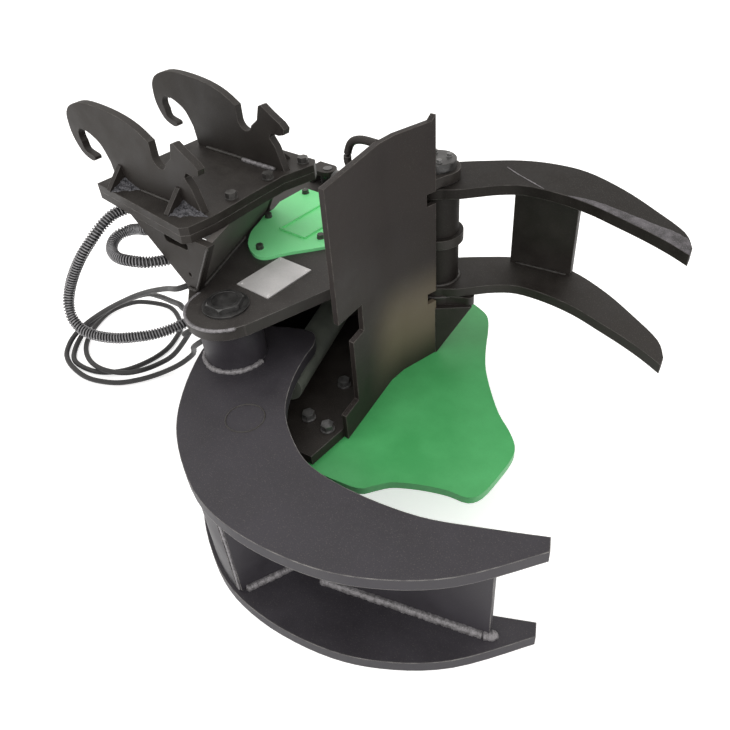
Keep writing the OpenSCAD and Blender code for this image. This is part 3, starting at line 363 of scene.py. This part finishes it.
# Studio: a pale floor that the camera sees as plain white apart from the tool's own soft shadow, a
# pale world, and three large soft lamps above and to the sides at a plain level.
world = bpy.data.worlds.new("studio")
bpy.context.scene.world = world
world.use_nodes = True
tree = world.node_tree
lighting = tree.nodes["Background"]
lighting.inputs["Color"].default_value = (1.0, 0.97, 0.94, 1)
lighting.inputs["Strength"].default_value = 0.95
backdrop = node(tree, "ShaderNodeBackground")
backdrop.inputs["Color"].default_value = (1, 1, 1, 1)
choice = node(tree, "ShaderNodeMixShader")
tree.links.new(node(tree, "ShaderNodeLightPath").outputs["Is Camera Ray"], choice.inputs["Fac"])
tree.links.new(lighting.outputs["Background"], choice.inputs[1])
tree.links.new(backdrop.outputs["Background"], choice.inputs[2])
tree.links.new(choice.outputs["Shader"], tree.nodes["World Output"].inputs["Surface"])

floor_paint = bpy.data.materials.new("floor_white")
floor_paint.use_nodes = True
tree = floor_paint.node_tree
shader = tree.nodes["Principled BSDF"]
shader.inputs["Base Color"].default_value = (0.82, 0.82, 0.82, 1)
shader.inputs["Roughness"].default_value = 0.9
rays = node(tree, "ShaderNodeLightPath")
seen = node(tree, "ShaderNodeMath", operation="MAXIMUM")
tree.links.new(rays.outputs["Is Camera Ray"], seen.inputs[0])
tree.links.new(rays.outputs["Is Glossy Ray"], seen.inputs[1])
glow = node(tree, "ShaderNodeEmission")
tree.links.new(ranged(tree, seen.outputs["Value"], low=0, high=1, to_high=0.62), glow.inputs["Strength"])
both = node(tree, "ShaderNodeAddShader")
tree.links.new(shader.outputs["BSDF"], both.inputs[0])
tree.links.new(glow.outputs["Emission"], both.inputs[1])
tree.links.new(both.outputs["Shader"], tree.nodes["Material Output"].inputs["Surface"])

floor_half = 9
floor_gap = 0.0005
floor_z = cad_box[0][2] - floor_gap
floor_mesh = bpy.data.meshes.new("floor")
floor_mesh.from_pydata([(-floor_half, -floor_half, floor_z), (floor_half, -floor_half, floor_z),
                        (floor_half, floor_half, floor_z), (-floor_half, floor_half, floor_z)], [],
                       [(0, 1, 2, 3)])
floor_mesh.materials.append(floor_paint)
floor = bpy.data.objects.new("floor", floor_mesh)
bpy.context.scene.collection.objects.link(floor)

for name, place, aim, width, height, power in (
        ("overhead", (-0.4, 0.1, 2.9), (0.1, 0.0, -0.4), 2.4, 2.4, 17),
        ("front_left", (2.3, -1.9, 1.4), (0.2, -0.1, -0.3), 1.8, 1.8, 15),
        ("near_side", (0.3, -2.6, 1.9), (0.3, 0, -0.3), 1.6, 1.2, 6)):
    light = bpy.data.lights.new(name, "AREA")
    light.shape = "RECTANGLE"
    light.size = width
    light.size_y = height
    light.energy = power
    lamp = bpy.data.objects.new(name, light)
    lamp.location = place
    lamp.rotation_euler = (Vector(aim) - Vector(place)).to_track_quat("-Z", "Y").to_euler()
    bpy.context.scene.collection.objects.link(lamp)
bpy.context.scene.view_settings.view_transform = "Standard"


# Welded frame: base plate, body, neck sides, lugs and coupler, all cut from thick steel plate, welded,
# and sprayed with a warm satin black that has dust in it. Along the edges it turns paler, partly paint
# rubbed thin and partly a painted highlight.
def paint(names, material):
    """Gives CAD nodes their finish, and smooth shading except over sharp edges."""
    for name in names:
        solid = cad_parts[name]
        solid.data.materials.clear()
        solid.data.materials.append(material)
        solid.data.polygons.foreach_set("use_smooth", [True] * len(solid.data.polygons))
        join = solid.modifiers.new("join", "WELD")
        join.merge_threshold = 0.00002
        split = solid.modifiers.new("crisp", "EDGE_SPLIT")
        split.split_angle = math.radians(32)


# Edge tone: paler along the edges, partly rubbed paint and partly a painted highlight.
frame_coat = dict(edge_tone=(0.19, 0.18, 0.17), dust_amount=0.35, edge_amount=0.8, bump=0.1, edge=0.0036)
black_paint = finish_material("black_paint", (0.0155, 0.0125, 0.011), (0.028, 0.0245, 0.0215),
                              rough=(0.46, 0.66), specular=0.36, **frame_coat)
paint(["base_plate", "body_shell", "floor_plate", "jaw_hub_tube", "hub_web", "collector_top_lug",
       "collector_lower_lug", "lug_gusset", "lug_column", "neck_side_near", "neck_side_far", "neck_rib",
       "neck_flange", "coupler_base", "coupler_ear_left", "coupler_ear_right", "coupler_gussets",
       "lifting_eye", "cylinder_anchor", "collector_anchor", "hose_bulkhead"], black_paint)

# Front wall of the neck: the steel plate that closes the neck towards the jaw, welded between its two
# sides. The coat on it is matter than the rest of the frame's, and painted a paler grey as painted light,
# since the wall stands in shade.
# Painted light: a paler grey than the frame's black, lifting the wall out of its shade.
neck_wall_painted_light = finish_material("neck_wall_painted_light", (0.095, 0.088, 0.083), (0.125, 0.117, 0.11),
                             rough=(0.6, 0.75), specular=0.25, **frame_coat)
paint(["neck_front_wall"], neck_wall_painted_light)

# Top plate: thick flat plate welded over the body, with the lug that holds the jaw pin's upper end. Its
# black is painted paler than the frame's as painted light, since the plate lies in shade beside the neck.
# It catches more dust than the upright plates, and its cut edges carry a paler grey, partly rubbed paint
# and partly a painted highlight.
# Painted light: a paler black than the frame's, for a plate that stands in shade.
top_plate_painted_light = finish_material("top_plate_painted_light", (0.034, 0.0305, 0.029), (0.052, 0.048, 0.0455),
                            edge_tone=(0.24, 0.23, 0.22), dust_amount=0.4, edge_amount=0.9,
                            rough=(0.46, 0.64), bump=0.1, specular=0.36, edge=0.0036)
paint(["top_plate"], top_plate_painted_light)


# Weld beads of the frame: overlapping ripples of weld metal along the feet of its plates. Most were
# sprayed over with the paint, but one at the far ear was left rough and pale. The pale bead round the
# lug's rim stands for the lug's worn, rounded edge and a painted highlight on it.
random.seed(7)


def weld_bead(name, route, radius, body, material, rough=0.16, closed=False):
    """A rippled, slightly uneven bead along a route given in millimetres."""
    step = 0.0018
    ripple_length = 0.0055
    ripple_height = 0.13
    end_size = 0.35
    end_growth = 0.3
    corners = 10
    line = smooth_line([working_point(*place) for place in route], step)[0]
    seed = random.random() * 9

    def ring(i, point, ahead, side, up):
        swell = 1 + ripple_height * abs(math.sin(math.pi * i * step / ripple_length))
        swell *= 1 + rough * (math.sin(i * 0.61 + seed) * 0.5 + math.sin(i * 0.173 + 2 * seed) * 0.5)
        if not closed:
            swell *= min(1, end_size + min(i, len(line) - 1 - i) * end_growth)
        return [point + radius * swell * (1 + rough * 0.5 * math.sin(3 * k + i * 0.9 + seed))
                * (math.cos(t) * side + math.sin(t) * up)
                for k, t in ((k, 2 * math.pi * k / corners) for k in range(corners))]

    new_piece(name, *swept(line, ring), material, body)


def arc(x, y, z, radius, start, stop, steps=36):
    """Points on a level arc, with its angles in degrees."""
    angles = [math.radians(start + (stop - start) * k / steps) for k in range(steps + 1)]
    return [(x + radius * math.cos(t), y + radius * math.sin(t), z) for t in angles]


painted_weld = finish_material("painted_weld", (0.024, 0.021, 0.019), (0.05, 0.047, 0.044), patch_scale=60,
                               dust_amount=0.4, rough=(0.3, 0.5), bump=0.35, edge=0, edge_amount=0)
bare_weld = finish_material("bare_weld", (0.13, 0.125, 0.13), (0.31, 0.3, 0.315), dust=(0.5, 0.48, 0.5),
                            patch_scale=110, dust_amount=0.6, rough=(0.32, 0.6), bump=0.7, metallic=0.3,
                            edge=0, edge_amount=0)
for name, route, radius, material in (
        ("weld_neck_corner", [(-103, -1, 463), (-60, -1, 537), (-18, -1, 608)], 0.0035, painted_weld),
        ("weld_neck_foot_near", [(-134, -2, 462), (-120, -2, 462), (-104, -2, 462)], 0.005, painted_weld),
        ("weld_neck_foot_front", [(-108, 25, 462), (-148, 120, 462), (-201, 248, 462)], 0.0045,
         painted_weld),
        ("weld_near_ear", [(-312, 48, 652), (-270, 48, 652), (-166, 48, 652)], 0.0036, painted_weld),
        ("weld_far_ear", [(-380, 313, 652), (-260, 313, 652), (-110, 313, 652)], 0.0045, painted_weld),
        ("weld_far_ear_second", [(-232, 309, 652), (-180, 308, 652), (-112, 310, 652)], 0.0056, bare_weld),
        # Painted highlight: a pale bead along the lug's worn rim.
        ("lug_rim_highlight", arc(0, 0, 457.5, 97, 178, 332, steps=40), 0.004, bare_weld),
        ("weld_lower_lug", arc(231, 527, 322.5, 72, -80, 20, steps=20), 0.0035, painted_weld),
        ("weld_gusset_front", [(258, 462, 152), (262, 452, 152), (268, 440, 152)], 0.003, painted_weld)):
    weld_bead(name, route, radius, "frame", material, rough=0.1)

# Rough weld build-up: weld metal laid run on run into the corners between the near ear, its two gussets
# and the coupler's base, left pitted and unpainted, and burnt dark by the heat.
burnt_weld = finish_material("burnt_weld", (0.026, 0.026, 0.03), (0.1, 0.1, 0.112), dust=(0.3, 0.3, 0.33),
                             patch_scale=130, dust_amount=0.8, rough=(0.3, 0.55), bump=0.8, metallic=0.25,
                             edge=0, edge_amount=0)


def weld_corner(name, corner, along, outward, height):
    """A lumpy fill in a corner, high where the two plates meet and thin at its long edge."""
    verts, faces, starts = [], [], []
    rows = 34
    sunk = 0.6
    lumps_per_mm = 0.16
    grit_per_mm = 0.55
    run_height, lump_height, grit_height = 2.6, 3.2, 1.6
    seed = random.random() * 50
    for r in range(rows + 1):
        starts.append(len(verts))
        for k in range(rows + 1 - r):
            u, v = r / rows, k / rows
            spread = 1 + 0.3 * noise.noise(Vector((4 * u / (u + v + 0.01), seed, 3)))
            place = Vector((corner[0] + along * u * spread, corner[1] - outward * v * spread, 0))
            lump = noise.noise(Vector((place.x * lumps_per_mm, place.y * lumps_per_mm, seed)))
            grit = noise.noise(Vector((place.x * grit_per_mm, place.y * grit_per_mm, seed + 9)))
            runs = abs(math.sin(0.34 * (place.x + 0.5 * place.y) + 2 * lump))
            inside = max(0, 1 - u - v)
            lift = height * inside ** 1.25 + (run_height * runs + lump_height * lump
                                              + grit_height * grit) * min(1, inside * 7)
            place.x += 5 * lump * v * min(1, u * 9)
            verts.append(working_point(place.x, place.y, corner[2] - sunk + max(lift, 0)))
    for r in range(rows):
        for k in range(rows - r):
            a = starts[r] + k
            b = starts[r + 1] + k
            faces.append((a, b, a + 1))
            if k < rows - r - 1:
                faces.append((b, b + 1, a + 1))
    new_piece(name, verts, faces, burnt_weld, "frame")


weld_corner("build_up_left", (-375.2, 50.2, 650), along=62, outward=54, height=20)
weld_corner("build_up_right", (-145.2, 50.2, 650), along=78, outward=60, height=20)

# Front plate: the bent sheet that the cut stems lean on, rolled steel with a matter, scuffed coat. Over
# the lower half of its flat middle it is painted paler and more olive, a painted reflection of the
# surroundings in the plate.
front_paint = finish_material("front_paint", (0.014, 0.0098, 0.009), (0.026, 0.021, 0.019), patch_scale=5,
                              edge_tone=(0.19, 0.175, 0.16), dust_amount=0.4, edge_amount=0.8,
                              rough=(0.5, 0.7), bump=0.12, specular=0.32, edge=0.0036)
tree = front_paint.node_tree
place = node(tree, "ShaderNodeSeparateXYZ")
tree.links.new(node(tree, "ShaderNodeNewGeometry").outputs["Position"], place.inputs["Vector"])
# Painted reflection: a pale olive mixed in over the lower half of the flat middle, past the bend.
below = ranged(tree, place.outputs["Z"], low=-0.27, high=-0.43, curve="SMOOTHSTEP")
above_floor = ranged(tree, place.outputs["Z"], low=-0.62, high=-0.46, curve="SMOOTHSTEP")
past_bend = ranged(tree, place.outputs["Y"], low=-0.03, high=0.14, curve="SMOOTHSTEP")
tone_group_node = next(n for n in tree.nodes if n.type == "GROUP")
toned, painted_reflection_tone = tinted(tree, product(tree, product(tree, below, past_bend), above_floor),
                      tone_group_node.outputs["Color"])
painted_reflection_tone.default_value = (0.125, 0.102, 0.07, 1)
tree.links.new(toned, tree.nodes["Principled BSDF"].inputs["Base Color"])
paint(["front_plate"], front_paint)

# Blade: one piece of thick hardened steel plate with a curved cutting edge, painted spring green all
# over. It is bolted on under the base plate, so that it can be taken off to be ground.
blade_paint = finish_material("blade_paint", (0.065, 0.4, 0.12), (0.09, 0.49, 0.16),
                              dust=(0.05, 0.2, 0.07), edge_tone=(0.16, 0.5, 0.2), patch_scale=6,
                              dust_amount=0.3, edge_amount=0.35, rough=(0.35, 0.5), bump=0.06)
paint(["blade"], blade_paint)

# Cover: a pressed sheet steel lid over the valves in the body, with a plain raised frame, painted a
# light green that looks darker along its edges. The green is raised paler and brighter than its coat as
# painted light, since the neck and the front plate shade the cover. Small bolts along its rim hold it.
# Painted light: the green raised to make up for the shade on the cover.
cover_green_painted_light = finish_material("cover_green_painted_light", (0.235, 0.9, 0.35), (0.275, 0.93, 0.4),
                              dust=(0.12, 0.48, 0.18), edge_tone=(0.012, 0.075, 0.022), patch_scale=8,
                              dust_amount=0.25, edge_amount=1, rough=(0.36, 0.5), bump=0.05,
                              specular=0.35, edge=0.0014)
paint(["access_cover"], cover_green_painted_light)

# Data plate: a thin plate of bare brushed aluminium, laid on the frame and held there by four small
# rivets with domed heads, one near each of its corners.
plate_metal = finish_material("plate_metal", (0.7, 0.69, 0.69), (0.8, 0.79, 0.79), dust=(0.5, 0.5, 0.5),
                              edge_tone=(0.5, 0.5, 0.5), patch_scale=14, dust_amount=0.4, edge_amount=0.3,
                              rough=(0.36, 0.48), metallic=0.35, edge=0.0006)
paint(["data_plate"], plate_metal)
low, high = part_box("data_plate")
inset = 0.009
corners = 16
dome = ((0.0032, 0.0), (0.003, 0.0008), (0.0022, 0.0014), (0.0011, 0.0018))
verts, faces = [], []
for x in (low[0] + inset, high[0] - inset):
    for y in (low[1] + inset, high[1] - inset):
        start = len(verts)
        for radius, lift in dome:
            verts += [Vector((x + radius * math.cos(t), y + radius * math.sin(t), high[2] + lift))
                      for t in (2 * math.pi * k / corners for k in range(corners))]
        for r in range(len(dome) - 1):
            for k in range(corners):
                a = start + r * corners + k
                b = start + r * corners + (k + 1) % corners
                faces.append((a, b, b + corners, a + corners))
        faces.append(tuple(range(len(verts) - corners, len(verts))))
new_piece("plate_rivets", verts, faces, plate_metal, "frame")

# Bolts, pins, washers and fittings: zinc-plated bolt heads and turned steel pins, screwed or pressed
# into the frame, greased, and dulled by dust. The flange's and the cover's bolts are darker.
bolt_steel = finish_material("bolt_steel", (0.16, 0.16, 0.16), (0.3, 0.3, 0.3), edge_tone=(0.5, 0.5, 0.5),
                             patch_scale=50, dust_amount=0.5, rough=(0.3, 0.48), metallic=0.8, edge=0.0008)
paint(["blade_bolts", "cap_bolts", "hose_fittings"], bolt_steel)
dull_bolt = finish_material("dull_bolt", (0.05, 0.048, 0.045), (0.1, 0.098, 0.095),
                            edge_tone=(0.25, 0.25, 0.25), patch_scale=40, dust_amount=0.5,
                            rough=(0.35, 0.5), metallic=0.4, edge=0.0008)
paint(["flange_bolts", "cover_bolts"], dull_bolt)
pin_steel = finish_material("pin_steel", (0.05, 0.05, 0.05), (0.12, 0.12, 0.12), edge_tone=(0.4, 0.4, 0.4),
                            patch_scale=30, dust_amount=0.5, rough=(0.3, 0.46), metallic=0.7, edge=0.0012)
paint(["jaw_pin", "jaw_pin_washer", "jaw_pin_nut", "collector_pin", "thrust_rings", "anchor_pin",
       "collector_pin_cap"], pin_steel)

# Jaw: two thick laser-cut plates with a hub, a rim wall and two webs between them, sprayed in a cooler
# black. The feet of its webs and hub carry wide, rough, unpainted weld beads, and a fine painted one
# runs round the head of the cylinder's pin.
# Edges: the jaw's pale edge tone is partly rubbed paint and partly a painted highlight.
jaw_paint = finish_material("jaw_paint", (0.0275, 0.025, 0.031), (0.041, 0.0378, 0.0462),
                            edge_tone=(0.4, 0.39, 0.37), patch_scale=7, dust_amount=0.35, edge_amount=1,
                            rough=(0.46, 0.62), bump=0.1, specular=0.4, edge=0.004)
paint(["jaw_upper_plate", "jaw_lower_plate", "jaw_hub_sleeve", "jaw_rim_wall", "jaw_cross_web",
       "jaw_long_web", "jaw_clevis", "jaw_cylinder_pin"], jaw_paint)
for name, route, radius, rough in (
        ("bead_cross_web", [(337, -346, 33), (364, -280, 33), (390, -217, 33)], 0.0092, 0.1),
        ("bead_long_web", [(452, -229, 33), (540, -202, 33), (660, -165, 33), (806, -120, 33)],
         0.0098, 0.1),
        ("bead_long_web_end", [(803, -121, 33), (820, -111, 33), (822, -100, 32)], 0.0112, 0.14),
        ("bead_rim_wall", [(326, -356, 33), (329, -356, 160), (326, -356, 286)], 0.003, 0.1),
        ("bead_hub_foot", arc(0, 0, 319.5, 77.5, 150, 372, steps=60), 0.0068, 0.13)):
    weld_bead(name, route, radius, "jaw", bare_weld, rough)
weld_bead("pin_head_groove", arc(191, -148, 318.0, 44, 0, 360, steps=60), 0.0017, "jaw", painted_weld,
          rough=0.04, closed=True)

# Collector arm: two curved plates cut from thick steel, with a thick tube as a sleeve and a spacer plate
# welded between them. The lower plate, the spacer and the lever have the frame's warm black. The upper
# plate and the sleeve have a darker, less glossy copy of it as painted shade, which keeps their lamp-lit
# tops as dark as the frame's.
# Painted shade: a darker copy of the frame's black for the upper plate and sleeve.
arm_black_painted_shade = finish_material("arm_black_painted_shade", (0.0095, 0.0076, 0.0067), (0.019, 0.0167, 0.0148),
                            rough=(0.5, 0.68), specular=0.2, **frame_coat)
paint(["arm_upper_plate", "arm_sleeve"], arm_black_painted_shade)
paint(["arm_lower_plate", "arm_spacer", "arm_lever"], black_paint)

# Ground band of the arm: a band along the upper plate's inner edge, from its middle to the tip, where
# the coat was ground away and the steel went patchy grey. It is under a millimetre thick.
ground_steel = finish_material("ground_steel", (0.013, 0.011, 0.014), (0.13, 0.122, 0.135),
                               dust=(0.3, 0.28, 0.3), patch_scale=52, dust_amount=0.9, rough=(0.34, 0.55),
                               bump=0.8, metallic=0.2, edge=0, edge_amount=0)
plate_top = 630
band_height = 0.45
rim_height = 0.03
stations = (((540, 601.4), (541, 605)), ((597, 593.2), (600, 611)), ((671, 571.2), (678, 598)),
            ((746, 547.2), (756, 580)), ((791, 529.5), (799, 572)), ((819, 516.8), (828, 558)),
            ((853.2, 499.4), (846, 530)))
inner_line = smooth_line([Vector((*inner, 0)) for inner, outer in stations], step=5)[0]
outer_line = smooth_line([Vector((*outer, 0)) for inner, outer in stations], step=5)[0]
columns = 9
verts, faces = [], []
for i, inner in enumerate(inner_line):
    share = i / (len(inner_line) - 1)
    outer = outer_line[round(share * (len(outer_line) - 1))]
    ragged = 0.1 * noise.noise(Vector((i * 0.31, 4, 0))) if share < 0.9 else 0
    outer = inner.lerp(outer, 1 + ragged)
    for k in range(columns + 1):
        spot = inner.lerp(outer, k / columns)
        grit = band_height + band_height * noise.noise(Vector((spot.x * 0.11, spot.y * 0.35, 2)))
        verts.append(working_point(spot.x, spot.y, plate_top + (grit if 0 < k < columns else rim_height)))
for i in range(len(inner_line) - 1):
    for k in range(columns):
        a = i * (columns + 1) + k
        faces.append((a, a + columns + 1, a + columns + 2, a + 1))
new_piece("ground_edge", verts, faces, ground_steel, "collector")

# Marks and welds of the arm: one long bare scratch over its upper plate, and painted weld beads round
# the sleeve's two ends and along the spacer's foot.
weld_bead("scratch_upper_arm", [(345, 664, 630.2), (389, 642, 630.2), (479, 605, 630.2)], 0.0011,
          "collector", bare_weld, rough=0.3)
for name, route, radius in (
        ("bead_sleeve_foot", arc(231, 527, 351, 57.5, -140, 80, steps=30), 0.004),
        ("bead_sleeve_head", arc(231, 527, 603.5, 57.5, -140, 80, steps=30), 0.004),
        ("bead_spacer_foot", [(374, 693, 351), (440, 703, 351), (514, 713, 351)], 0.0035)):
    weld_bead(name, route, radius, "collector", painted_weld)

# Cylinders: drawn steel tube, the collector's with a hard gloss black coat and the jaw's in a flat, pale
# greenish grey that is a painted reflection of the green blade and painted light in its shade, with
# plated rods dulled by oil and dust. Pins hold their ends.
cylinder_gloss = finish_material("cylinder_gloss", (0.015, 0.015, 0.016), (0.024, 0.024, 0.026),
                                 dust_amount=0.3, rough=(0.16, 0.28), bump=0.04, coat=0.5)
paint(["collector_barrel"], cylinder_gloss)
# Painted reflection and painted light: a pale greenish grey for the shaded barrel.
jaw_barrel_painted_reflection = finish_material("jaw_barrel_painted_reflection", (0.105, 0.118, 0.1), (0.145, 0.16, 0.135),
                                dust=(0.07, 0.075, 0.065), patch_scale=20, dust_amount=0.4,
                                rough=(0.55, 0.7), bump=0.06, specular=0.25)
paint(["jaw_barrel"], jaw_barrel_painted_reflection)
rod_plating = finish_material("rod_plating", (0.14, 0.14, 0.136), (0.21, 0.21, 0.205), patch_scale=20,
                              dust_amount=0.35, rough=(0.3, 0.42), bump=0.05, metallic=0.85)
paint(["jaw_rod", "collector_rod"], rod_plating)
